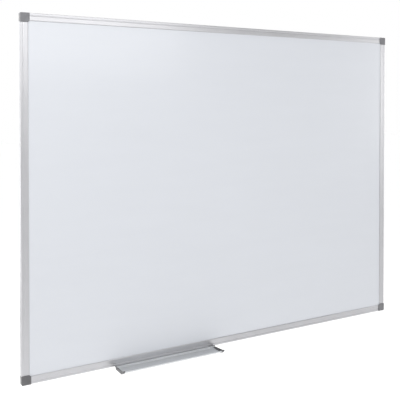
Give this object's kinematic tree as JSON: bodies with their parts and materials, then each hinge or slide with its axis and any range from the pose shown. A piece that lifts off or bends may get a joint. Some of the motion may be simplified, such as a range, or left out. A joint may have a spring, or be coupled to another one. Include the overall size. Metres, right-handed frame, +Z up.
{
  "type": "magnetic whiteboard",
  "caption": "Wall-mounted magnetic whiteboard: white lacquered panel in a slim aluminium frame with grey clip-on corner covers and a sliding pen tray.",
  "frame": {"origin": "middle of the board on the wall plane", "axes": "+X to the right seen from the room, +Y into the wall, +Z up"},
  "size_m": [1.2, 0.093, 0.9077],
  "materials": {
    "aluminium": "silver anodised, satin",
    "lacquered_steel": "gloss white lacquer",
    "fibreboard": "raw fibreboard",
    "galvanised_steel": "galvanised",
    "nylon": "black moulded nylon",
    "grey_abs": "grey moulded plastic, fine grain",
    "zinc_plated_steel": "bright zinc plate"
  },
  "bodies": {
    "board": {"writing_sheet": "lacquered_steel", "core_board": "fibreboard", "backing_sheet": "galvanised_steel", "top_rail": "aluminium", "bottom_rail": "aluminium", "left_rail": "aluminium", "right_rail": "aluminium", "corner_connector_top_left": "nylon", "corner_connector_top_right": "nylon", "corner_connector_bottom_right": "nylon", "corner_connector_bottom_left": "nylon", "wall_screw_top_left": "zinc_plated_steel", "wall_screw_top_right": "zinc_plated_steel", "wall_screw_bottom_right": "zinc_plated_steel", "wall_screw_bottom_left": "zinc_plated_steel"},
    "tray": {"pen_tray": "aluminium", "tray_end_left": "grey_abs", "tray_end_right": "grey_abs"},
    "cap_top_left": {"corner_cap_top_left": "grey_abs"},
    "cap_top_right": {"corner_cap_top_right": "grey_abs"},
    "cap_bottom_right": {"corner_cap_bottom_right": "grey_abs"},
    "cap_bottom_left": {"corner_cap_bottom_left": "grey_abs"}
  },
  "joints": [
    {"name": "tray_slide", "type": "slide", "parent": "board", "child": "tray", "axis": [1, 0, 0], "range_m": [-0.2237, 0.6347]},
    {"name": "cap_top_left_pull", "type": "slide", "parent": "board", "child": "cap_top_left", "axis": [0, -1, 0], "range_m": [0, 0.02]},
    {"name": "cap_top_right_pull", "type": "slide", "parent": "board", "child": "cap_top_right", "axis": [0, -1, 0], "range_m": [0, 0.02]},
    {"name": "cap_bottom_right_pull", "type": "slide", "parent": "board", "child": "cap_bottom_right", "axis": [0, -1, 0], "range_m": [0, 0.02]},
    {"name": "cap_bottom_left_pull", "type": "slide", "parent": "board", "child": "cap_bottom_left", "axis": [0, -1, 0], "range_m": [0, 0.02]}
  ]
}
